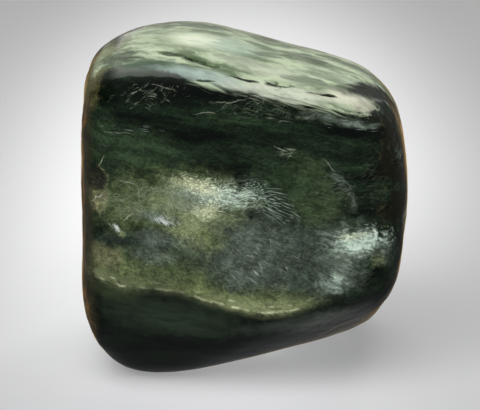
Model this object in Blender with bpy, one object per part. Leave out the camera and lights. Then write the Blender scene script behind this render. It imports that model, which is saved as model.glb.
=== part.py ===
"""A tumbled seraphinite stone, about 31 mm across, standing on its worn lower flat.

The stone is one solid: a broken block of seraphinite (fibrous clinochlore) whose flats have been worn
round in a tumbler. Each flat of the block is a plane with a facing and a distance from the stone's
heart. Tumbling blends neighbouring planes into each other, leaves shallow hollows where the softer
bands wore faster, and a slow waviness all over. The flat that it rests on is cut true.

Frame: +Z up, the broad polished face towards -Y, the origin under the middle of the stone on the
surface that it rests on.
"""

import math

import bmesh
import bpy
from mathutils import Matrix, Vector, noise

MM = 0.001

# Height of the heart, the point that the flats are measured from, above the resting flat.
HEART_HEIGHT = 13.5 * MM

# The block's flats: azimuth and elevation of the outward facing in degrees, distance from the heart.
# Azimuth 0 faces the front (-Y), 90 the right (+X) and 180 the back.
FLATS = {
    "front": (5, 6, 12.5 * MM),
    "front_left": (-50, 2, 17.6 * MM),
    "front_right": (48, 4, 18.5 * MM),
    "lower_front": (-7, -24, 13.6 * MM),
    "lower_front_right": (32, -54, 13.15 * MM),
    "left": (-89, 1, 13.7 * MM),
    "upper_left": (-107, 69, 19.1 * MM),
    "lower_left": (-85, -40, 17.1 * MM),
    "top": (51, 77, 16.5 * MM),
    "right": (88, -8, 16.2 * MM),
    "upper_right": (87, 21, 18.5 * MM),
    "lower_right": (85, -50, 20.3 * MM),
    "back": (176, -4, 12.6 * MM),
    "upper_back": (137, 67, 17.3 * MM),
    "lower_back": (182, -42, 18.5 * MM),
    "lower_back_left": (-136, -38, 18.4 * MM),
    "back_right": (131, 6, 18.2 * MM),
    "back_left": (-138, 10, 18.6 * MM),
    "underside": (0, -90, 14.2 * MM),
}

# How crisp the worn edges are: the flats blend as a norm of this order, and a higher order is crisper.
CRISPNESS = 12

# Hollows and swellings left by the tumbling: azimuth and elevation seen from the heart, the breadth
# over which they fade out, and their depth. A swelling has a negative depth.
HOLLOWS = {
    "left_waist": (-88, 3, 5.5 * MM, 0.30 * MM),
    "brow": (-38, 40, 3.0 * MM, 0.32 * MM),
    "right_brow": (58, 28, 3.4 * MM, 0.22 * MM),
    "face_swell": (4, -8, 8.0 * MM, -0.20 * MM),
    "lower_lip": (22, -34, 4.2 * MM, 0.18 * MM),
    "back_dish": (170, 8, 7.0 * MM, 0.55 * MM),
    "back_shoulder": (-150, 38, 4.5 * MM, 0.35 * MM),
    "right_dish": (96, -12, 5.5 * MM, 0.32 * MM),
    "crown_dip": (120, 66, 4.5 * MM, 0.22 * MM),
}

# The slow waviness of a tumbled surface, and the height over which it sets in above the resting flat.
WAVE_LENGTH = 7.5 * MM
WAVE_HEIGHT = 0.16 * MM
WAVE_ONSET = 3 * MM

# Squares along each side of the cube that is blown out to the stone's surface.
GRID = 25

# Two faces that meet at more than this stay a visible edge: the rim of the resting flat.
SHARP_ANGLE = math.radians(30)


def facing(azimuth, elevation):
    """Unit vector of a facing given in degrees: azimuth 0 is -Y, 90 is +X."""
    turn, rise = math.radians(azimuth), math.radians(elevation)
    return Vector((math.sin(turn) * math.cos(rise), -math.cos(turn) * math.cos(rise), math.sin(rise)))


def worn_block(direction):
    """Point of the worn block's surface in a direction from the heart."""
    total = 0.0
    for azimuth, elevation, distance in FLATS.values():
        reach = facing(azimuth, elevation).dot(direction) / distance
        total += max(0.0, reach) ** CRISPNESS
    return direction * total ** (-1 / CRISPNESS)


def hollow_depth(point):
    """How far the hollows sink the surface at a point of it."""
    depth = 0.0
    for azimuth, elevation, breadth, deepest in HOLLOWS.values():
        middle = worn_block(facing(azimuth, elevation))
        depth += deepest * math.exp(-(((point - middle).length / breadth) ** 2))
    return depth


def tumbled_surface(direction):
    """Point of the stone's surface, measured from the heart, in a direction from it."""
    point = worn_block(direction)
    onset = min(1.0, max(0.0, (point.z + HEART_HEIGHT) / WAVE_ONSET))
    waviness = onset * WAVE_HEIGHT * noise.noise(point / WAVE_LENGTH)
    return point + direction * (waviness - hollow_depth(point))


def blown_out_cube():
    """A cube of small squares whose corners are moved out to the stone's surface."""
    shape = bmesh.new()
    bmesh.ops.create_cube(shape, size=2.0)
    bmesh.ops.subdivide_edges(shape, edges=shape.edges[:], cuts=GRID - 1, use_grid_fill=True)
    for corner in shape.verts:
        corner.co = tumbled_surface(corner.co.normalized())
    return shape


def cut_resting_flat(shape):
    """Cuts the underside off true at the height that the stone rests on, and closes the cut."""
    cut = bmesh.ops.bisect_plane(
        shape,
        geom=shape.verts[:] + shape.edges[:] + shape.faces[:],
        dist=0.02 * MM,
        plane_co=(0, 0, -HEART_HEIGHT),
        plane_no=(0, 0, -1),
        clear_outer=True,
    )
    rim = [item for item in cut["geom_cut"] if isinstance(item, bmesh.types.BMEdge)]
    bmesh.ops.edgeloop_fill(shape, edges=rim)
    bmesh.ops.recalc_face_normals(shape, faces=shape.faces[:])


def centre_over_origin(mesh):
    """Moves the mesh so that the middle of its box is over the origin and its flat is at height 0."""
    across = [vertex.co.x for vertex in mesh.vertices]
    deep = [vertex.co.y for vertex in mesh.vertices]
    middle = Vector(((min(across) + max(across)) / 2, (min(deep) + max(deep)) / 2, -HEART_HEIGHT))
    mesh.transform(Matrix.Translation(-middle))


def polished_seraphinite():
    """Dark green stone with a silvery sheen, polished."""
    material = bpy.data.materials.new("polished_seraphinite")
    material.use_nodes = True
    surface = material.node_tree.nodes["Principled BSDF"]
    surface.inputs["Base Color"].default_value = (0.045, 0.075, 0.04, 1.0)
    surface.inputs["Roughness"].default_value = 0.18
    surface.inputs["Metallic"].default_value = 0.1
    return material


def make_stone():
    shape = blown_out_cube()
    cut_resting_flat(shape)
    mesh = bpy.data.meshes.new("seraphinite_stone")
    shape.to_mesh(mesh)
    shape.free()
    centre_over_origin(mesh)
    mesh.shade_smooth()
    mesh.set_sharp_from_angle(angle=SHARP_ANGLE)
    stone = bpy.data.objects.new("seraphinite_stone", mesh)
    stone.data.materials.append(polished_seraphinite())
    bpy.context.scene.collection.objects.link(stone)
    return stone


for leftover in list(bpy.data.objects):
    bpy.data.objects.remove(leftover)
make_stone()
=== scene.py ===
"""A tumbled and polished seraphinite stone, standing on its worn lower flat."""

import math

import bpy
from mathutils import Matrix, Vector


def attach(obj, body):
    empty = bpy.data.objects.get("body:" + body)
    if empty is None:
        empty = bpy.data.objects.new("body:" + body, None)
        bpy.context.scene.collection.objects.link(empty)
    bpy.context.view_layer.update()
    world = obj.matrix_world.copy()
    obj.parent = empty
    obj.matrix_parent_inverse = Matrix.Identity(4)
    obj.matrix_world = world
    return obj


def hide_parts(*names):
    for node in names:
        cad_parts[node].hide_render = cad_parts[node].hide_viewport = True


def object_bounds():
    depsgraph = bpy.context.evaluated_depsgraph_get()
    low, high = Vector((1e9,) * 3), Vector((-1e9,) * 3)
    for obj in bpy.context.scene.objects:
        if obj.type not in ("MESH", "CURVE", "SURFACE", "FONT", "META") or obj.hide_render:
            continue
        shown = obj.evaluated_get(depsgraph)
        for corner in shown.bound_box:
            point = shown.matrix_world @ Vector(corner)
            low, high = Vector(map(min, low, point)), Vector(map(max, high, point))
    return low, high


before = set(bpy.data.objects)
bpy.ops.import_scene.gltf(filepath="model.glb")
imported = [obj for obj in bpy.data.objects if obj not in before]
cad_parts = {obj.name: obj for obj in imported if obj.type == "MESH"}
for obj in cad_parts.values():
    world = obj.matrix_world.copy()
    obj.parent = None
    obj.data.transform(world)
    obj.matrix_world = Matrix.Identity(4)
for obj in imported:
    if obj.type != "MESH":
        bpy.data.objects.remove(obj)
cad_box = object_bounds()

# The stone: one lump of seraphinite, a dark green clinochlore whose fibres grew in silvery feathers.
# It was broken from the rock, worn round in a drum of grit and polished. Softer layers wore back a
# little, small pits opened along the top, and one old fracture stayed as a hollow at its left edge.

MM = 0.001
stone_heart = (cad_box[0] + cad_box[1]) / 2

# Pits: middle, turn in degrees, half sizes and depth, in millimetres
PITS = (
    ((-6.6, -4.4, 30.35), (0, 6, -10), (1.3, 0.42, 1.0), 0.12),
    ((-4.5, -5.2, 30.10), (0, 10, -24), (0.95, 0.42, 1.0), 0.26),
    ((-3.1, -6.0, 29.85), (0, 10, -12), (0.90, 0.34, 1.0), 0.30),
    ((-0.2, -7.3, 29.10), (0, 10, -4), (1.40, 0.24, 1.0), 0.28),
    ((-3.6, -9.1, 29.30), (0, 10, 4), (0.8, 0.18, 1.0), 0.15),
    ((3.2, -7.1, 28.50), (0, 10, -4), (1.15, 0.55, 1.0), 0.42),
    ((6.9, -7.9, 27.70), (0, 12, -4), (1.1, 0.26, 1.0), 0.22),
)
# A pit is painted fully dark inside, as shade, from this depth
DARK_PIT_DEPTH = 0.25
# The fracture: middle, turn, half sizes and depth
HOLLOW = ((-13.1, -11.8, 21.2), (0, 12, -35), (1.3, 1.4, 1.25), 0.55)


class Signal:
    """An output socket of a node, so that sums on it read as Python."""

    def __init__(self, socket):
        self.socket = socket

    def node(self, kind, settings, inputs, output=0):
        """A new node in this socket's tree: its settings first, then its inputs as values or links."""
        tree = self.socket.id_data
        made = tree.nodes.new(kind)
        for name, value in settings.items():
            if name == "stops":
                set_stops(made.color_ramp, value)
            else:
                setattr(made, name, value)
        for name, value in inputs.items():
            if isinstance(value, Signal):
                tree.links.new(value.socket, made.inputs[name])
            else:
                made.inputs[name].default_value = value
        return Signal(made.outputs[output])

    def beside(self, output):
        """Another output of the node that this one comes from."""
        return Signal(self.socket.node.outputs[output])

    def maths(self, operation, *values):
        return self.node("ShaderNodeMath", {"operation": operation}, dict(enumerate((self, *values))))

    def vector(self, operation, *values, output=0):
        inputs = dict(enumerate((self, *values)))
        return self.node("ShaderNodeVectorMath", {"operation": operation}, inputs, output)

    def __add__(self, other):
        return self.maths("ADD", other)

    __radd__ = __add__

    def __sub__(self, other):
        return self.maths("SUBTRACT", other)

    def __rsub__(self, other):
        return (self * -1) + other

    def __mul__(self, other):
        return self.maths("MULTIPLY", other)

    __rmul__ = __mul__

    def __truediv__(self, other):
        return self.maths("DIVIDE", other)

    def __rtruediv__(self, other):
        return (self ** -1) * other

    def __pow__(self, other):
        return self.maths("POWER", other)


def set_stops(ramp, stops):
    while len(ramp.elements) > 1:
        ramp.elements.remove(ramp.elements[-1])
    for number, (place, colour) in enumerate(stops):
        stop = ramp.elements[0] if number == 0 else ramp.elements.new(place)
        stop.position = place
        stop.color = (*colour, 1.0)


def smooth(value, low, high):
    """0 where a value is at low, 1 where it is at high, with a soft step between."""
    return value.node(
        "ShaderNodeMapRange",
        {"interpolation_type": "SMOOTHSTEP"},
        {"Value": value, "From Min": low, "From Max": high},
    )


def laid(place, centre, turn, lengths):
    """A place measured from a centre, in lengths along axes that are turned: the second angle dips
    them to the right, and the third swings them about the upright."""
    turned = place.node(
        "ShaderNodeVectorRotate",
        {"rotation_type": "EULER_XYZ", "invert": True},
        {"Vector": place, "Center": centre, "Rotation": tuple(math.radians(angle) for angle in turn)},
    )
    return turned.vector("SUBTRACT", centre).vector("DIVIDE", lengths)


def reach(place, centre, turn, lengths):
    """How far a place is from a centre: 1 on the ellipsoid of these half sizes."""
    return laid(place, centre, turn, lengths).vector("LENGTH", output="Value")


def cloud(place, scale=1.0, detail=3.0, roughness=0.5):
    return place.node(
        "ShaderNodeTexNoise",
        {},
        {"Vector": place, "Scale": scale, "Detail": detail, "Roughness": roughness},
    )


def scaled(vector, amount):
    return vector.node("ShaderNodeVectorMath", {"operation": "SCALE"}, {0: vector, "Scale": amount})


def worn_relief(place):
    """How far the surface stands in or out, in millimetres, at a place in millimetres."""
    rise = (cloud(place, 0.22, 2.0) - 0.5) * 0.36
    layers = cloud(laid(place, (0, 0, 0), (0, 8, -12), (6.0, 2.6, 0.8)), 1.0, 2.0)
    rise = rise + (layers - 0.5) * 0.05
    ridge = smooth(reach(place, (1.5, -10.2, 27.6), (0, 9, 0), (7.0, 1.6, 1.3)), 1.1, 0.5)
    rise = rise + (cloud(place, 1.3, 2.0) - 0.5) * ridge * 0.16
    for centre, turn, lengths, depth in (*PITS, HOLLOW):
        rise = rise - smooth(reach(place, centre, turn, lengths), 1.1, 0.35) * depth
    up = place.node("ShaderNodeSeparateXYZ", {}, {0: place}, "Z")
    return rise * smooth(up, 0.1, 2.5)


def tumbled_form_tree():
    """Rows of points thrown out from the heart onto the solid, then rounded and worn."""
    tree = bpy.data.node_groups.new("tumbled_form", "GeometryNodeTree")
    tree.interface.new_socket("Geometry", in_out="OUTPUT", socket_type="NodeSocketGeometry")
    for name, kind in (
        ("Solid", "NodeSocketObject"),
        ("Heart", "NodeSocketVector"),
        ("Rows", "NodeSocketInt"),
        ("Rounding", "NodeSocketInt"),
        ("Wear", "NodeSocketFloat"),
        ("Finish", "NodeSocketMaterial"),
    ):
        tree.interface.new_socket(name, in_out="INPUT", socket_type=kind)
    given = tree.nodes.new("NodeGroupInput")
    solid, heart, rows, rounding, wear, finish = (Signal(socket) for socket in given.outputs[:6])
    cube = heart.node(
        "GeometryNodeMeshCube", {}, {"Vertices X": rows, "Vertices Y": rows, "Vertices Z": rows}
    )
    here = heart.node("GeometryNodeInputPosition", {}, {})
    block = solid.node(
        "GeometryNodeObjectInfo", {"transform_space": "RELATIVE"}, {"Object": solid}, "Geometry"
    )
    reached = heart.node(
        "GeometryNodeRaycast",
        {},
        {
            "Target Geometry": block,
            "Source Position": heart,
            "Ray Direction": here.vector("NORMALIZE"),
            "Ray Length": 1.0,
        },
        "Hit Position",
    )
    skin = cube.node("GeometryNodeSetPosition", {}, {"Geometry": cube, "Position": reached})
    rounded = here.node(
        "GeometryNodeBlurAttribute",
        {"data_type": "FLOAT_VECTOR"},
        {"Value": here, "Iterations": rounding},
    )
    skin = skin.node("GeometryNodeSetPosition", {}, {"Geometry": skin, "Position": rounded})
    relief = worn_relief(here.vector("MULTIPLY", (1 / MM,) * 3)) * wear
    offset = scaled(here.node("GeometryNodeInputNormal", {}, {}), relief)
    skin = skin.node("GeometryNodeSetPosition", {}, {"Geometry": skin, "Offset": offset})
    skin = skin.node("GeometryNodeSetShadeSmooth", {}, {"Geometry": skin})
    skin = skin.node("GeometryNodeRealizeInstances", {}, {"Geometry": skin})
    skin = skin.node("GeometryNodeSetMaterial", {}, {"Geometry": skin, "Material": finish})
    result = tree.nodes.new("NodeGroupOutput")
    tree.links.new(skin.socket, result.inputs["Geometry"])
    return tree


def plain_mesh(name, tree, **sizes):
    """The mesh that a tree makes from its named inputs, with the modifier gone."""
    maker = bpy.data.objects.new(name + "_maker", bpy.data.meshes.new(name))
    bpy.context.scene.collection.objects.link(maker)
    modifier = maker.modifiers.new("form", "NODES")
    modifier.node_group = tree
    for socket in tree.interface.items_tree:
        if socket.in_out == "INPUT":
            modifier[socket.identifier] = sizes[socket.name]
    graph = bpy.context.evaluated_depsgraph_get()
    mesh = bpy.data.meshes.new_from_object(maker.evaluated_get(graph))
    bpy.data.objects.remove(maker)
    mesh.name = name
    return mesh


def tinted(below, above, share):
    """One colour laid over another by a share."""
    return share.node("ShaderNodeMix", {"data_type": "RGBA"}, {0: share, 6: below, 7: above}, 2)


def centred(noise):
    """The colour of a noise as a vector that swings about nothing."""
    return noise.beside("Color").vector("SUBTRACT", (0.5, 0.5, 0.5))


def bent(place, noise, lengths):
    """A place pushed about by a noise."""
    return centred(noise).vector("MULTIPLY_ADD", lengths, place)


def thread(value, middle, width):
    """1 along the line where a value is at the middle, gone at a width to either side."""
    return smooth((value - middle).maths("ABSOLUTE"), width, 0.0)


def spray(place, root, fineness):
    """Fibres that fan out of a root to every side."""
    away = place.vector("SUBTRACT", root)
    along = place.vector("MULTIPLY", (0.22, 0.22, 0.22))
    return cloud(away.vector("NORMALIZE").vector("MULTIPLY_ADD", (fineness,) * 3, along), 1.0, 2.0)


def needles(place, dip, lengths, share):
    """Straight fibres painted pale as glints where they catch the light: stretched cells in the plane
    of the broad face, of which a share is painted lit."""
    cell = laid(place, (2.0, 5.0, 3.0), (90, dip, 0), (*lengths, 1.0))
    near = cell.node(
        "ShaderNodeTexVoronoi", {"voronoi_dimensions": "2D"}, {"Vector": cell, "Scale": 1.0}, "Distance"
    )
    lot = near.node("ShaderNodeSeparateColor", {}, {0: near.beside("Color")})
    return smooth(near, 0.40, 0.05) * smooth(lot, 1.0 - share, 1.0 - share * 0.2)


def wisps(place, dip, amount):
    """Fine wavy fibres that lie at a dip, more of them where the amount is high."""
    strands = cloud(laid(place, (0, 0, 0), (0, dip, 0), (0.9, 0.9, 0.065)), 1.0, 1.0)
    return smooth(strands + amount * 0.2, 0.72, 0.84)


BLACK_GREEN = (0.0012, 0.0030, 0.0016, 1)
FOREST = (0.007, 0.0155, 0.007, 1)
MOSS = (0.026, 0.047, 0.022, 1)
OLIVE = (0.068, 0.096, 0.038, 1)
LIME = (0.125, 0.160, 0.062, 1)
SMOKE = (0.044, 0.062, 0.045, 1)
MIST = (0.090, 0.117, 0.088, 1)
PEWTER = (0.26, 0.33, 0.26, 1)
SILVER = (0.66, 0.82, 0.67, 1)
MINT = (0.80, 1.0, 0.82, 1)
CREAM = (0.90, 0.94, 0.60, 1)
WHITE = (0.85, 0.92, 0.86, 1)
STRAW = (0.32, 0.37, 0.18, 1)
SAGE = (0.21, 0.25, 0.12, 1)
BROWN = (0.020, 0.018, 0.009, 1)
KHAKI = (0.110, 0.105, 0.050, 1)
TAN = (0.19, 0.185, 0.095, 1)
TEAL = (0.014, 0.024, 0.019, 1)
HAIR = (0.62, 0.72, 0.52, 1)
THREAD = (0.55, 0.58, 0.44, 1)
# Painted rim glow of light at the left edge
PAINTED_RIM_GLOW = (0.26, 0.125, 0.028, 1)
RIND = (0.19, 0.175, 0.070, 1)
# Painted shade inside the fracture hollow
HOLLOW_SHADE = (0.016, 0.018, 0.013, 1)
PIT_RIM = (0.06, 0.10, 0.035, 1)
WEDGE = (0.004, 0.009, 0.003, 1)
PALE_SHADE = (0.165, 0.240, 0.120, 1)
PALE_LIGHT = (0.54, 0.64, 0.43, 1)

# How far forward the broad face stands, and its foot
FACE_FRONT, FOOT_FRONT = -12.5, -12.0
# Patches of the broad face: x and z of the middle, half length, half height, dip, tone and share.
# The grey SMOKE and MIST hazes over its lower middle are partly the stone's own tone and partly a
# painted soft reflection.
HAZES = (
    (2.7, 13.9, 8.6, 5.4, 4, SMOKE, 0.95),
    (-0.6, 15.2, 6.0, 3.6, 10, MIST, 0.60),
    (-1.8, 12.6, 4.0, 2.8, 20, MIST, 0.45),
    (4.9, 20.1, 5.6, 3.7, 24, MOSS, 0.85),
    (5.6, 21.7, 2.2, 1.1, 30, OLIVE, 0.25),
    (6.6, 18.6, 3.0, 1.9, 20, OLIVE, 0.40),
    (-8.8, 23.8, 4.4, 2.2, 8, MOSS, 0.90),
    (-8.9, 19.2, 5.4, 3.2, -3, OLIVE, 0.95),
    (-4.6, 19.4, 4.8, 3.2, 0, OLIVE, 0.95),
    (-5.0, 19.6, 3.0, 2.0, 8, LIME, 0.75),
    (-4.7, 16.2, 3.0, 1.6, 12, LIME, 0.95),
    (-4.9, 16.0, 1.9, 1.0, 24, SAGE, 0.85),
    (-8.0, 15.5, 5.6, 1.5, 4, SMOKE, 0.85),
    (-7.3, 16.1, 2.6, 1.0, 10, MIST, 0.75),
    (-10.9, 15.7, 2.2, 0.7, 3, TEAL, 0.85),
    (-8.6, 12.9, 7.4, 2.5, 7, OLIVE, 0.90),
    (-10.6, 12.8, 3.2, 1.5, 14, LIME, 0.60),
    (-8.0, 14.3, 2.4, 0.9, 10, MIST, 0.80),
    (-12.8, 14.0, 2.2, 1.5, 0, TAN, 0.60),
    (-13.1, 19.4, 1.3, 1.3, 0, TAN, 0.90),
    (1.0, 9.8, 6.2, 1.5, 2, LIME, 0.95),
    (1.4, 9.4, 4.4, 0.9, 0, SAGE, 0.90),
    (-4.0, 11.0, 3.4, 1.3, 14, LIME, 0.80),
    (8.8, 14.0, 3.4, 3.2, 10, MIST, 0.55),
    (10.4, 14.6, 2.7, 1.2, 6, (0.20, 0.26, 0.20, 1), 0.75),
    (8.2, 11.9, 1.9, 1.3, 6, (0.14, 0.18, 0.14, 1), 0.70),
    (-3.6, 19.2, 4.6, 2.4, 4, SAGE, 0.60),
    (12.7, 13.6, 1.0, 1.8, -30, MIST, 0.90),
    (8.6, 25.9, 4.8, 0.55, 11, MIST, 0.85),
    (11.0, 25.3, 2.6, 0.35, 11, PEWTER, 0.60),
    (-12.6, 25.0, 1.6, 3.0, 0, MOSS, 0.60),
)
# Silky sheets on it, in the same order. They are partly the fibres' own pale tone and partly a
# painted sheen, and the WHITE specks are painted glints.
SHEETS = (
    (-4.9, 19.6, 3.2, 1.7, 6, SAGE, 0.90),
    (-9.9, 18.4, 2.6, 1.0, -4, SAGE, 0.35),
    (-5.6, 19.5, 2.1, 1.3, 0, (0.31, 0.37, 0.20, 1), 0.80),
    (-5.2, 17.2, 1.5, 1.3, -20, STRAW, 0.80),
    (-3.5, 19.7, 4.3, 1.8, 4, PEWTER, 0.85),
    (-2.2, 19.9, 3.0, 1.1, 6, SILVER, 0.95),
    (-4.0, 20.5, 2.6, 0.9, 14, CREAM, 0.70),
    (-0.2, 19.9, 1.9, 0.5, 6, SILVER, 0.45),
    (-3.4, 18.5, 1.7, 0.9, -15, CREAM, 0.55),
    (-7.4, 17.9, 2.1, 0.6, 20, PEWTER, 0.80),
    (-6.8, 17.6, 0.8, 0.3, 14, WHITE, 0.85),
    (-11.35, 17.1, 0.38, 0.30, 30, WHITE, 0.95),
    (-11.0, 16.6, 0.40, 0.45, 0, STRAW, 0.70),
    (10.4, 15.2, 2.9, 1.2, 8, PEWTER, 0.85),
    (10.8, 15.1, 2.5, 1.15, 6, MINT, 1.0),
    (10.0, 15.6, 1.6, 0.40, 2, CREAM, 0.50),
    (8.1, 11.6, 1.6, 1.0, 6, PEWTER, 0.95),
    (8.3, 11.8, 0.9, 0.8, 6, SILVER, 0.65),
    (9.2, 13.3, 1.3, 0.6, 6, PEWTER, 0.95),
    (12.2, 13.0, 0.6, 0.9, -20, SAGE, 0.70),
    (7.4, 16.0, 1.6, 0.4, 8, PEWTER, 0.55),
)
# Patches of the foot below the crease, in the same order. The two grey ones at the right are a
# painted soft reflection.
LOWER = (
    (-11.4, 10.6, 3.8, 1.2, 8, OLIVE, 0.60),
    (-6.4, 8.0, 7.6, 2.5, 7, (0.032, 0.055, 0.030, 1), 0.95),
    (5.0, 7.6, 6.0, 1.2, -8, MIST, 0.55),
    (7.6, 7.0, 4.6, 1.8, -20, (0.15, 0.17, 0.14, 1), 0.70),
)
# Pale threads, each in a crack of its own and partly painted glints: x and z of the middle, half
# length, dip and brightness
THREADS = (
    (-12.2, 23.2, 0.8, -62, 0.70), (-9.8, 21.0, 1.2, 18, 0.55), (-8.0, 20.5, 0.9, 13, 0.45),
    (-9.9, 18.1, 1.0, -33, 0.70), (-11.8, 17.2, 1.0, 54, 0.60), (-8.8, 19.8, 1.1, 78, 0.40),
    (-12.7, 19.6, 1.3, -38, 1.00), (-10.6, 19.4, 0.7, 30, 0.40), (0.9, 12.7, 1.0, 42, 0.95),
    (1.4, 13.2, 0.7, 60, 0.85), (0.3, 13.1, 0.5, 20, 0.70), (3.7, 13.0, 0.5, 78, 0.60),
    (2.1, 15.4, 0.5, 66, 0.45), (0.2, 14.3, 0.9, 24, 0.35), (-1.2, 28.1, 2.2, 1, 0.45),
    (-9.6, 28.9, 0.9, -20, 0.34), (-7.2, 29.1, 1.3, 8, 0.34), (-3.4, 27.3, 1.4, 0, 0.40),
    (2.8, 26.4, 2.0, 14, 0.30), (3.0, 23.8, 1.0, 34, 0.50), (-11.2, 25.6, 1.4, 4, 0.40),
    (7.2, 22.3, 1.2, 42, 0.35), (-5.9, 15.2, 0.8, 48, 0.30), (4.6, 18.0, 0.9, 36, 0.30),
)

# The pale crease across the foot of the broad face, partly a painted highlight along the edge there:
# the x where it starts, how far it runs and a height above all of it, then its course as x, height
# and brightness
CREASE_START, CREASE_LENGTH, CREASE_TOP = -14.0, 28.0, 20.0
CREASE = (
    (-14.0, 11.95, 0.60), (-12.6, 11.9, 0.75), (-10.8, 11.35, 0.65), (-8.3, 11.3, 0.28),
    (-5.7, 11.07, 0.28), (-3.5, 10.17, 0.50), (-1.7, 9.65, 0.85), (-0.4, 9.33, 1.0),
    (1.6, 8.75, 1.0), (4.1, 8.9, 0.80), (5.4, 9.25, 0.40), (6.7, 9.8, 0.10), (9.0, 10.0, 0.0),
    (14.0, 11.0, 0.0),
)

# Needles, painted glints, by the way they lie: their dip and sizes, then the middle, half sizes and
# dip of each zone that holds them, with the share of them that is painted lit and how bright they are
NEEDLES = (
    (10, (1.3, 0.08), (
        ((-10.4, -12, 25.9), (3.4, 4, 0.6), 2, 0.40, 0.35),
        ((9.0, -10, 25.6), (4.0, 3, 0.8), 11, 0.25, 0.40),
    )),
    (38, (1.6, 0.07), (
        ((0.6, -12, 13.4), (3.2, 4, 3.0), 40, 0.14, 0.42),
        ((5.0, -12, 14.5), (4.5, 4, 4.0), 0, 0.05, 0.30),
    )),
    (-20, (0.9, 0.08), (
        ((8.2, -12, 20.2), (1.5, 4, 2.8), -20, 0.25, 0.30),
        ((2.5, -12, 12.5), (7.0, 4, 3.6), 0, 0.06, 0.25),
    )),
)
# The same for hairs that curl, also painted glints
HAIRS = (
    ((2.5, -10.6, 27.2), (8.0, 2.2, 1.0), 9, 0.60, 0.20),
    ((-8.7, -10.6, 28.4), (4.0, 2.2, 1.3), 0, 0.60, 0.30),
    ((-9.6, -12, 19.4), (4.4, 4, 3.0), 0, 0.80, 0.22),
    ((-4.0, -12, 18.0), (3.0, 4, 2.6), 0, 0.90, 0.22),
    ((-8.0, -12, 13.4), (6.0, 4, 2.4), 0, 0.70, 0.10),
    ((2.5, -12, 13.0), (7.5, 4, 5.0), 0, 0.65, 0.09),
    ((9.2, -11, 14.0), (3.6, 4, 4.0), 0, 0.80, 0.14),
    ((3.4, -12, 23.4), (1.0, 4, 0.6), 0, 0.90, 0.40),
    ((11.8, -9, 21.0), (2.4, 5, 5.0), 0, 0.60, 0.10),
    ((8.0, -12, 20.0), (2.6, 4, 3.0), 0, 0.60, 0.12),
)

# Patches along the top: middle, turn, half sizes, tone and share. The three pale ones along the front
# edge are painted highlights where the light glints along the ridge.
TOPS = (
    ((-6.4, 0.6, 30.3), (0, 4, -10), (6.0, 4.2, 2.0), (0.40, 0.48, 0.31, 1), 0.75),
    ((-3.9, 0.2, 30.1), (0, 4, -14), (3.4, 2.6, 2.0), (0.88, 0.97, 0.72, 1), 1.0),
    ((-8.6, -7.2, 30.0), (0, 2, -8), (5.0, 2.2, 2.0), (0.046, 0.096, 0.050, 1), 0.95),
    ((-12.4, -7.6, 29.5), (0, 2, -8), (1.9, 2.0, 2.0), (0.095, 0.105, 0.035, 1), 0.90),
    ((-11.6, -4.4, 29.9), (0, 0, 0), (2.6, 2.2, 2.0), (0.060, 0.088, 0.045, 1), 0.90),
    ((-12.4, 0.4, 29.4), (0, 0, 0), (2.4, 4.6, 2.2), (0.23, 0.255, 0.125, 1), 0.80),
    ((-6.2, -8.2, 29.9), (0, 8, -6), (2.2, 1.3, 1.4), (0.19, 0.27, 0.225, 1), 0.80),
    ((-0.8, -0.2, 29.8), (0, 8, -20), (3.2, 3.0, 2.0), (0.42, 0.55, 0.43, 1), 0.70),
    ((1.6, -4.6, 29.1), (0, 10, -14), (5.2, 1.7, 2.0), (0.56, 0.62, 0.46, 1), 0.80),
    ((2.1, -0.5, 29.0), (0, 10, -20), (1.6, 1.6, 2.0), (0.11, 0.155, 0.09, 1), 0.75),
    ((5.6, 0.6, 28.5), (0, 10, -20), (2.8, 2.2, 2.0), (0.10, 0.145, 0.08, 1), 0.80),
    ((5.4, -5.6, 28.4), (0, 10, -10), (2.6, 1.2, 2.0), (0.14, 0.19, 0.12, 1), 0.80),
    ((10.2, 1.8, 27.3), (0, 14, -20), (2.2, 1.5, 2.0), (0.10, 0.145, 0.08, 1), 0.60),
    ((8.2, -3.4, 27.8), (0, 12, -14), (4.2, 1.8, 2.0), (0.46, 0.55, 0.40, 1), 0.60),
    ((-5.0, 6.6, 30.0), (0, 4, 0), (3.4, 1.5, 2.0), (0.09, 0.14, 0.07, 1), 0.80),
    ((-8.9, 3.4, 30.1), (0, 0, 10), (1.8, 1.2, 2.0), (0.13, 0.18, 0.11, 1), 0.60),
    # These three are painted highlights along the ridge
    ((-3.4, -8.2, 29.6), (0, 9, -4), (5.6, 1.5, 1.6), (0.40, 0.51, 0.46, 1), 0.85),
    ((3.4, -8.5, 28.2), (0, 9, 0), (6.5, 1.7, 1.6), (0.64, 0.68, 0.55, 1), 0.85),
    ((9.6, -7.4, 26.9), (0, 12, 12), (3.9, 1.8, 1.8), (0.72, 0.73, 0.57, 1), 0.90),
)


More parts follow.
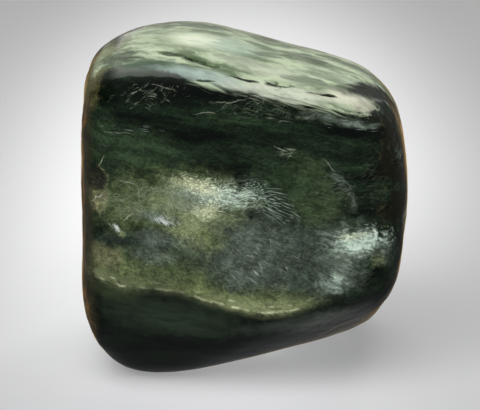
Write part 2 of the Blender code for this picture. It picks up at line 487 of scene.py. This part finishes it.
class Growth:
    """Fields over the stone that its patterns are made from, at a place in millimetres."""

    def __init__(self, place):
        self.place = place
        self.x = place.node("ShaderNodeSeparateXYZ", {}, {0: place}, "X")
        self.y, self.z = self.x.beside("Y"), self.x.beside("Z")
        # The place pushed about: by the slow flow of the fibres, then ragged, and in tight curls
        self.flow = bent(place, cloud(place, 0.16, 2.0), (2.2, 2.2, 1.5))
        self.ragged = bent(self.flow, cloud(place, 0.8, 3.0), (1.1, 1.1, 0.8))
        self.curly = bent(place, cloud(place, 0.45, 2.0), (1.5, 1.5, 1.4))
        # Clouds from 0 to 1: broad ones, felted fibre, feathery streaks and mottling
        self.wide = cloud(self.flow, 0.15, 3.0)
        self.felt = cloud(laid(self.curly, (0, 0, 0), (0, 22, 0), (0.55, 0.45, 0.15)), 1.0, 4.0, 0.75)
        streaks = laid(self.ragged, (0, 0, 0), (0, 10, -14), (2.6, 0.8, 0.6))
        self.feather = cloud(streaks, 1.0, 3.0, 0.6)
        self.mottle = cloud(self.ragged, 1.1, 4.0, 0.62)
        # The mottling as a swing about nothing, which makes edges uneven
        self.uneven = self.mottle - 0.5
        # 1 on the broad face
        self.facing = smooth(self.y, -6.0, -8.0) * smooth(self.z, 30.0, 29.4)


def patches(table, place, front, edge, outer, inner):
    """The tone of each patch in a table, and its mask: gone at the outer reach, full at the inner."""
    for middle_x, middle_z, half_long, half_high, dip, tone, share in table:
        far = reach(place, (middle_x, front, middle_z), (0, dip, 0), (half_long, 5.0, half_high))
        yield tone, smooth(far + edge, outer, inner) * share


def greatest(signals):
    """The greatest of several values at each place."""
    most, *others = signals
    for other in others:
        most = most.maths("MAXIMUM", other)
    return most


def layered_body(at):
    """Dark green stone in level layers."""
    grain = cloud(laid(at.flow, (0, 0, 0), (0, 7, 0), (2.2, 0.9, 0.20)), 1.0, 3.0, 0.55)
    bands = cloud(laid(at.flow, (3, 0, 0), (0, 5, 0), (9.0, 6.0, 1.7)), 1.0, 3.0, 0.5)
    body = tinted(BLACK_GREEN, FOREST, smooth(bands + (grain - 0.5) * 0.3, 0.34, 0.58))
    return tinted(body, MOSS, smooth(bands + (grain - 0.5) * 0.4, 0.54, 0.84))


def with_plumes(body, at):
    """Away from the broad face, clouds of olive and grey with plumes of silky fibre in them. Gives
    the colour, and how silvery it is."""
    hidden = (1.0 - at.facing) * (1.0 - smooth(at.z, 8.5, 6.0) * smooth(at.y, 0.0, -4.0))
    hidden = hidden * (1.0 - smooth(at.z, 27.8, 28.8) * smooth(at.y, 3.0, -1.0))
    clouds = at.wide + (at.felt - 0.5) * 0.25
    body = tinted(body, OLIVE, smooth(clouds, 0.50, 0.66) * hidden * 0.85)
    body = tinted(body, SMOKE, smooth(clouds, 0.46, 0.30) * hidden * 0.90)
    root_cells = {"Vector": at.flow, "Scale": 0.10}
    roots = at.flow.node("ShaderNodeTexVoronoi", {}, root_cells, "Position")
    rays = smooth(spray(at.flow, roots, 22.0) * 0.75 + at.felt * 0.25, 0.40, 0.62)
    silk = cloud(laid(at.flow, (4, 0, 0), (0, 12, 0), (6.0, 6.0, 3.2)), 1.0, 2.0)
    silk = silk + (at.felt - 0.5) * 0.16 + (rays - 0.5) * 0.10
    plumes = smooth(silk, 0.50, 0.66) * hidden
    body = tinted(body, MIST, plumes * (rays * 0.4 + 0.6))
    body = tinted(body, PEWTER, plumes * rays * 0.8)
    core = smooth(silk, 0.60, 0.76) * hidden * rays
    return tinted(body, SILVER, core * 0.7), plumes * rays * 0.3


def with_hazes(body, at):
    """Hazy patches of the broad face, the grey ones partly a painted soft reflection, then felt,
    blotches and, higher up, long sweeps that shade every tone so far."""
    for tone, mask in patches(HAZES, at.ragged, FACE_FRONT, at.uneven * 1.3, 1.25, 0.25):
        body = tinted(body, tone, mask)
    blotch = cloud(bent(at.place, cloud(at.place, 0.5, 3.0), (1.8, 1.8, 1.4)), 0.7, 5.0, 0.68)
    sweep = cloud(laid(at.flow, (6, 1, 2), (0, 15, 0), (5.0, 2.2, 0.7)), 1.0, 4.0, 0.58)
    blotch = blotch + (sweep - blotch) * smooth(at.z, 20.0, 22.5) * at.facing
    felted = smooth(at.felt * 0.6 + at.mottle * 0.4, 0.34, 0.64)
    return scaled(body, felted * 0.70 + smooth(blotch, 0.42, 0.60) * 0.75 + 0.58)


def with_sheets(body, silvery, at):
    """Silky sheets, partly the fibres' own tone and partly a painted sheen, combed by their own fibres
    and grainy with fine specks, and the pale arc that closes the face at the right."""
    comb = smooth(spray(at.ragged, (-8.5, -14.5, 20.0), 60.0), 0.34, 0.66)
    edge = at.uneven * 0.9 + (0.5 - comb) * 0.55 + (0.5 - at.felt) * 0.6
    for tone, mask in patches(SHEETS, at.ragged, FACE_FRONT, edge, 1.15, 0.15):
        body = tinted(body, tone, mask)
        silvery = greatest((silvery, mask * 0.2))
    specks = smooth(cloud(at.curly, 3.4, 2.0, 0.6), 0.36, 0.62)
    glint = smooth(at.felt * 0.5 + comb * 0.2, 0.26, 0.46) * 0.40 + 0.80
    body = scaled(body, glint * (specks * 0.40 + 0.82))
    arc = reach(at.ragged, (7.2, FACE_FRONT, 18.0), (0, 0, 0), (2.6, 9.0, 3.6))
    arc = thread(arc, 0.96, 0.20) * smooth(at.x, 7.0, 8.4) * smooth(at.z, 17.5, 18.6)
    return tinted(body, PEWTER, arc * smooth(at.felt, 0.38, 0.66) * 0.55), silvery


def with_crease(body, at):
    """The pale crease across the foot of the broad face, partly a painted highlight along the edge, and
    the foot below it, painted darker as shade, with a painted soft grey reflection at its right.
    """
    along = (at.x - CREASE_START) / CREASE_LENGTH
    stops = []
    for crease_x, height, brightness in CREASE:
        stop = (crease_x - CREASE_START) / CREASE_LENGTH
        stops.append((stop, (height / CREASE_TOP, brightness, 0.0)))
    course = along.node("ShaderNodeValToRGB", {"stops": stops}, {0: along})
    course = course.node("ShaderNodeSeparateColor", {}, {0: course})
    above = at.z - course * CREASE_TOP + at.uneven * 0.5

    softer_right = above / (smooth(at.x, 4.5, 8.5) * 3.0 + 1.0)
    foot = smooth(softer_right, 0.15, -0.55) * smooth(at.y, -5.0, -9.0)
    streaks = cloud(laid(at.flow, (1, 2, 3), (0, 9, 0), (5.0, 4.0, 0.9)), 1.0, 3.0)
    fine = cloud(laid(at.ragged, (4, 2, 3), (0, 7, 0), (3.0, 2.4, 0.45)), 1.0, 4.0, 0.6)
    # Painted shade: the foot below the crease is painted darker
    body = tinted(body, BLACK_GREEN, foot * 0.92)
    body = tinted(body, FOREST, foot * smooth(streaks, 0.42, 0.68) * 0.8)
    # The foot's patches; the two grey ones at the right are a painted soft reflection
    for tone, mask in patches(LOWER, at.ragged, FOOT_FRONT, at.uneven * 0.8, 1.2, 0.2):
        body = tinted(body, tone, mask * foot * (smooth(fine, 0.34, 0.64) * 0.4 + 0.6))

    # A soft glow, with a broken bright thread in it and a second one just above, partly a painted
    # highlight along the edge
    bright = course.beside("Green") * smooth(at.y, -8.0, -10.0)
    bright = bright * smooth(at.felt + at.mottle, 0.70, 1.15)
    broken = smooth(cloud(at.ragged, 0.8, 1.0), 0.40, 0.56)
    second = cloud(laid(at.flow, (5, 0, 0), (0, 8, 0), (0.9, 1.0, 0.5)), 1.0, 2.0)
    body = tinted(body, STRAW, thread(above, 0.3, 1.3) * bright * 0.9)
    body = tinted(body, CREAM, thread(above, 0.0, 0.20) * bright * broken)
    return tinted(body, CREAM, thread(above, 0.55, 0.15) * bright * smooth(second, 0.48, 0.62) * 0.8)


def lit_zones(zones, at):
    """The share of the fibres in some zones that is painted lit as glints, and how bright they are."""
    shares, glows = [], []
    for centre, half_sizes, dip, share, brightness in zones:
        far = reach(at.flow, centre, (0, dip, 0), half_sizes) + at.uneven * 1.2
        zone = smooth(far, 1.2, 0.4)
        shares.append(zone * share)
        glows.append(zone * brightness)
    return greatest(shares), greatest(glows)


def with_fibres(body, at):
    """Single fibres, partly their own pale tone and partly painted glints where they catch
    the light.
    """
    for dip, lengths, zones in NEEDLES:
        share, glow = lit_zones(zones, at)
        body = tinted(body, WHITE, needles(at.flow, dip, lengths, share) * glow)
    share, glow = lit_zones(HAIRS, at)
    hairs = greatest((wisps(at.curly, 14, share), wisps(at.curly, -36, share)))
    body = tinted(body, HAIR, hairs * glow)

    # A fringe below the edge of the pale layer, partly painted glints
    fringe = cloud(laid(at.flow, (0, 0, 0), (0, 24, 0), (1.5, 1.0, 0.10)), 1.0, 2.0)
    edge = reach(at.flow, (3.4, -10.2, 27.0), (0, 10, 0), (6.8, 2.0, 1.1)) + at.uneven * 0.8
    body = tinted(body, STRAW, smooth(fringe, 0.58, 0.72) * smooth(edge, 1.1, 0.3) * 0.22)

    # Pale threads in cracks, partly painted glints
    crooked = bent(at.flow, cloud(at.place, 1.3, 3.0), (0.55, 0.55, 0.5))
    worn = smooth(at.felt * 0.6 + at.mottle * 0.4, 0.40, 0.52)
    for middle_x, middle_z, half_long, dip, brightness in THREADS:
        far = reach(crooked, (middle_x, FOOT_FRONT, middle_z), (0, dip, 0), (half_long, 6.0, 0.075))
        body = tinted(body, THREAD, smooth(far, 1.0, 0.2) * worn * brightness)

    # A fan of fibres where the bright plume ends, partly painted glints
    fan = smooth(spray(at.flow, (-2.2, FACE_FRONT, 20.9), 50.0), 0.48, 0.66)
    far = reach(at.flow, (1.8, FACE_FRONT, 19.4), (0, 34, 0), (3.5, 5.0, 1.5)) + at.uneven
    return tinted(body, SILVER, fan * smooth(far, 1.1, 0.5) * 0.5)


def with_stains_glow_and_shade(body, at):
    """Brown stain at the two ends of the broad face, with a thin orange-brown line up the left one that
    is a painted rim glow of light at that edge, and the fracture hollow, painted dark inside as shade,
    with its pale broken lip."""
    stain = smooth(cloud(at.ragged, 0.5, 3.0), 0.36, 0.52)
    right_end = smooth(at.x + at.uneven * 2.0, 11.0, 12.8) * smooth(at.y, -3.0, -6.0)
    right_end = right_end * smooth(at.z, 15.5, 17.5)
    body = tinted(body, BROWN, right_end * stain * 0.85)
    body = tinted(body, KHAKI, right_end * smooth(at.mottle, 0.54, 0.68) * 0.45)
    left_end = smooth(at.x + at.uneven * 1.6, -12.9, -13.9)
    left_end = left_end * smooth(at.y + (at.wide - 0.5) * 16.0, -5.0, -9.0)
    body = tinted(body, BROWN, left_end * 0.8)
    body = tinted(body, KHAKI, left_end * smooth(at.mottle * 0.5 + at.felt * 0.5, 0.40, 0.62) * 0.5)

    # Painted light: a thin orange-brown line up the left end stands for a rim of light glowing at that
    # edge
    glow_breaks = smooth(cloud(at.flow, 0.9, 3.0), 0.30, 0.55)
    wander = at.y + (cloud(at.flow, 0.8, 3.0) - 0.5) * 2.2
    rim_glow = thread(wander, -9.3, 0.6) * smooth(at.x, -13.2, -14.0)
    rim_glow = rim_glow * smooth(at.z, 1.5, 5.0) * smooth(at.z, 29.5, 26.0)
    body = tinted(body, PAINTED_RIM_GLOW, rim_glow * glow_breaks * 0.85)

    centre, turn, lengths, _ = HOLLOW
    far = reach(at.ragged, centre, turn, lengths) + at.uneven * 1.8
    # Painted shade: the hollow is painted dark inside
    body = tinted(body, HOLLOW_SHADE, smooth(far, 1.2, 0.7) * 0.9)
    body = tinted(body, KHAKI, smooth(far, 1.1, 0.3) * smooth(at.felt, 0.44, 0.62) * 0.45)
    lip = thread(far, 1.25, 0.3) * smooth(at.x, -13.2, -12.4)
    return tinted(body, TAN, lip * smooth(at.felt, 0.4, 0.6))


def with_pale_layer(body, silvery, at):
    """The pale layer over the top, with a frayed front edge and drifts of fibre, and the rind at its
    left end. Its paleness is partly its own tone and partly a painted reflection of the light behind,
    and it is painted darker towards the back as shade. Gives how far it covers too."""
    height = at.z - 28.6 + at.x * 0.17 + (at.y + 9.2).maths("MINIMUM", 3.0) * 0.3
    height = height + smooth(at.x, -6.0, -2.5) * 0.40 + smooth(at.x, 0.5, 4.0) * 0.25
    height = height + smooth(at.x, -11.5, -13.0) * 1.2
    height = height - smooth(at.x + at.uneven * 2.0, 10.8, 13.0) * smooth(at.y, 0.0, -3.0) * 2.5
    bay = reach(at.place, (-8.0, -9.3, 29.9), (0, 0, 0), (4.0, 1.3, 1.2))
    height = height - smooth(bay, 1.1, 0.4) * 0.65
    fray = cloud(laid(at.flow, (0, 0, 0), (0, 17, -8), (3.2, 0.9, 0.15)), 1.0, 4.0, 0.62)
    height = height + (fray - 0.5) * (smooth(at.x, -3.0, 2.0) + 1.4)
    upper = smooth(height, -0.4, 0.5)

    drift = cloud(laid(at.flow, (2, 0, 0), (0, 10, -14), (4.6, 2.7, 1.6)), 1.0, 3.0, 0.5)
    swirl = smooth(drift + (at.feather - 0.5) * 0.5 + (fray - 0.5) * 0.3, 0.34, 0.64)
    pale = tinted(PALE_SHADE, PALE_LIGHT, swirl)
    for centre, turn, lengths, tone, share in TOPS:
        far = reach(at.ragged, centre, turn, lengths) + (at.feather - 0.5) * 1.1
        pale = tinted(pale, tone, smooth(far, 1.2, 0.4) * share)
    gloom = smooth(at.feather * 0.6 + drift * 0.4, 0.36, 0.60) * 0.40 + 0.88
    # Painted shade: the pale layer is darkened towards the back
    body = tinted(body, scaled(pale, gloom * (1.0 - smooth(at.y, 2.0, 9.0) * 0.35)), upper)

    rind = reach(at.ragged, (-13.8, -6.0, 28.3), (0, 0, 0), (1.4, 5.6, 2.4)) + at.uneven * 1.8
    body = tinted(body, RIND, smooth(rind, 1.2, 0.3) * smooth(at.felt, 0.30, 0.60) * 0.7)
    return body, greatest((silvery, upper * 0.12)), upper


def with_pits(body, silvery, at):
    """Pits painted dark inside as shade, darker the deeper they are, with olive round them, and the
    dark wedge at the right end of the pale layer. Gives the wedge too."""
    for centre, turn, lengths, depth in PITS:
        far = reach(at.flow, centre, turn, lengths) + at.uneven * 1.6
        body = tinted(body, PIT_RIM, smooth(far, 1.35, 1.0) * 0.75)
        # Painted shade: the deeper a pit, the darker it is painted inside
        darkness = min(1.0, depth / DARK_PIT_DEPTH)
        body = tinted(body, BLACK_GREEN, smooth(far, 0.92, 0.76) * darkness)
    far = reach(at.ragged, (12.0, -3.2, 26.4), (0, 17, 45), (5.2, 1.7, 1.7))
    wedge = smooth(far + (at.feather - 0.5) * 0.9, 1.2, 0.6)
    return tinted(body, WEDGE, wedge), silvery * (1.0 - wedge), wedge


def polished_seraphinite():
    """Dark green stone with feathers, threads and needles of silvery fibre under a clear polish, with
    some highlights, glints, sheen, reflections and shade painted into its colour.
    """
    material = bpy.data.materials.new("polished_seraphinite")
    material.use_nodes = True
    tree = material.node_tree
    metres = Signal(tree.nodes.new("ShaderNodeTexCoord").outputs["Object"])
    at = Growth(metres.vector("MULTIPLY", (1 / MM,) * 3))

    body, silvery = with_plumes(layered_body(at), at)
    body = with_hazes(body, at)
    body, silvery = with_sheets(body, silvery, at)
    body = with_crease(body, at)
    # Painted shade: the body is painted darkest just under the pale upper layer
    body = tinted(body, BLACK_GREEN, smooth(at.z, 27.2, 28.6) * at.facing * 0.85)
    body = with_fibres(body, at)
    body = with_stains_glow_and_shade(body, at)
    body, silvery, upper = with_pale_layer(body, silvery, at)
    body, silvery, wedge = with_pits(body, silvery, at)

    # The polish is worn away in the wedge, over the pale layer and at the ends of the broad face
    ends = greatest((smooth(at.x, 10.5, 12.5), smooth(at.x, -12.0, -13.5))) * smooth(at.y, 0.0, -4.0)
    left_shoulder = smooth(at.x, -10.5, -12.0) * smooth(at.z, 26.5, 28.5)
    dull = greatest((wedge, upper * 0.86, ends * 0.6, left_shoulder))
    brushed = cloud(at.place, 2.2, 3.0, 0.6)
    relief = {"Strength": 0.35, "Distance": 0.1 * MM, "Height": brushed}
    surface = tree.nodes["Principled BSDF"]
    for socket, value in (
        ("Base Color", body),
        ("Metallic", silvery),
        ("Roughness", 0.30 + at.mottle * 0.25),
        ("Coat Weight", 1.0 - dull),
        ("Normal", brushed.node("ShaderNodeBump", {}, relief)),
    ):
        tree.links.new(value.socket, surface.inputs[socket])
    for socket, value in (
        ("IOR", 1.45),
        ("Specular IOR Level", 0.05),
        ("Coat Roughness", 0.07),
        ("Coat IOR", 1.5),
        ("Sheen Weight", 1.0),
        ("Sheen Roughness", 0.11),
        ("Sheen Tint", (1.0, 0.63, 0.18, 1)),
    ):
        surface.inputs[socket].default_value = value
    return material


mesh = plain_mesh(
    "seraphinite_surface",
    tumbled_form_tree(),
    Solid=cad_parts["seraphinite_stone"],
    Heart=stone_heart,
    Rows=128,
    Rounding=24,
    Wear=MM,
    Finish=polished_seraphinite(),
)
stone = bpy.data.objects.new("seraphinite_surface", mesh)
bpy.context.scene.collection.objects.link(stone)
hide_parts("seraphinite_stone")
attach(stone, "root")

# The floor: a sheet of plain pale card, far wider than the view. It is matt, and it doesn't mirror in
# the polish of the stone.

FLOOR_HALF = 1.5
floor_mesh = bpy.data.meshes.new("floor")
sides = ((-1, -1), (1, -1), (1, 1), (-1, 1))
corners = [(FLOOR_HALF * across, FLOOR_HALF * back, 0) for across, back in sides]
floor_mesh.from_pydata(corners, [], [(0, 1, 2, 3)])
floor = bpy.data.objects.new("floor", floor_mesh)
bpy.context.scene.collection.objects.link(floor)
card = bpy.data.materials.new("pale_card")
card.use_nodes = True
card_surface = card.node_tree.nodes["Principled BSDF"]
card_surface.inputs["Base Color"].default_value = (0.8, 0.8, 0.81, 1)
card_surface.inputs["Roughness"].default_value = 0.9
card_surface.inputs["Specular IOR Level"].default_value = 0.1
floor_mesh.materials.append(card)
floor.visible_glossy = False

# The light: a dim pale room with a large softbox low behind the stone and a tall narrow one above
# it, both of which glint along the top edge, and one overhead, a little in front, that lights the
# broad face. A spot from the camera's side falls on the card alone, as a pale pool round the stone.

world = bpy.data.worlds.new("studio")
bpy.context.scene.world = world
world.use_nodes = True
world.node_tree.nodes["Background"].inputs["Color"].default_value = (0.92, 0.95, 1.0, 1)
world.node_tree.nodes["Background"].inputs["Strength"].default_value = 0.09


def direction(azimuth, elevation):
    turn, rise = math.radians(azimuth), math.radians(elevation)
    return Vector((math.sin(turn) * math.cos(rise), -math.cos(turn) * math.cos(rise), math.sin(rise)))


def softbox(name, azimuth, elevation, distance, width, height, radiance, colour):
    lamp = bpy.data.lights.new(name, "AREA")
    lamp.shape = "RECTANGLE"
    lamp.size, lamp.size_y = width, height
    lamp.energy = radiance * math.pi * width * height
    lamp.color = colour
    holder = bpy.data.objects.new(name, lamp)
    away = direction(azimuth, elevation)
    holder.location = stone_heart + away * distance
    holder.rotation_euler = away.to_track_quat("Z", "Y").to_euler()
    bpy.context.scene.collection.objects.link(holder)
    return holder


softbox(
    "wall", azimuth=180, elevation=24, distance=0.9,
    width=0.9, height=1.02, radiance=0.8, colour=(1.0, 1.0, 0.96),
)
softbox(
    "window", azimuth=151, elevation=38, distance=0.6,
    width=0.10, height=0.42, radiance=2.2, colour=(1.0, 0.97, 0.88),
)
overhead = softbox(
    "overhead", azimuth=-24, elevation=54, distance=0.28,
    width=0.24, height=0.24, radiance=3.6, colour=(1.0, 1.0, 1.0),
)
overhead.visible_glossy = False

# The broad face is seen from 20 degrees above
to_viewer = direction(0, 20)
beam = bpy.data.lights.new("beam", "SPOT")
beam.energy = 84
beam.spot_size, beam.spot_blend = math.radians(3.8), 1.0
beam.shadow_soft_size = 0.01
beam_holder = bpy.data.objects.new("beam", beam)
pool_middle = Vector((-1.5, 57, 0)) * MM
beam_holder.location = pool_middle + to_viewer
beam_holder.rotation_euler = to_viewer.to_track_quat("Z", "Y").to_euler()
beam_holder.visible_glossy = False
bpy.context.scene.collection.objects.link(beam_holder)
lit_by_beam = bpy.data.collections.new("lit_by_beam")
lit_by_beam.objects.link(floor)
beam_holder.light_linking.receiver_collection = lit_by_beam
beam_holder.light_linking.blocker_collection = lit_by_beam

# The camera: a long lens that looks down a little at the broad face. The stone nearly fills the
# frame.

LENS = 168.5
CAMERA_DISTANCE = 210 * MM
aim = Vector((-0.378, 0.304, 14.334)) * MM
camera_data = bpy.data.cameras.new("camera")
camera_data.lens = LENS
camera_data.clip_start, camera_data.clip_end = 0.01, 10
camera = bpy.data.objects.new("camera", camera_data)
camera.location = aim + CAMERA_DISTANCE * to_viewer
camera.rotation_euler = to_viewer.to_track_quat("Z", "Y").to_euler()
bpy.context.scene.collection.objects.link(camera)
bpy.context.scene.camera = camera
bpy.context.scene.view_settings.view_transform = "Standard"
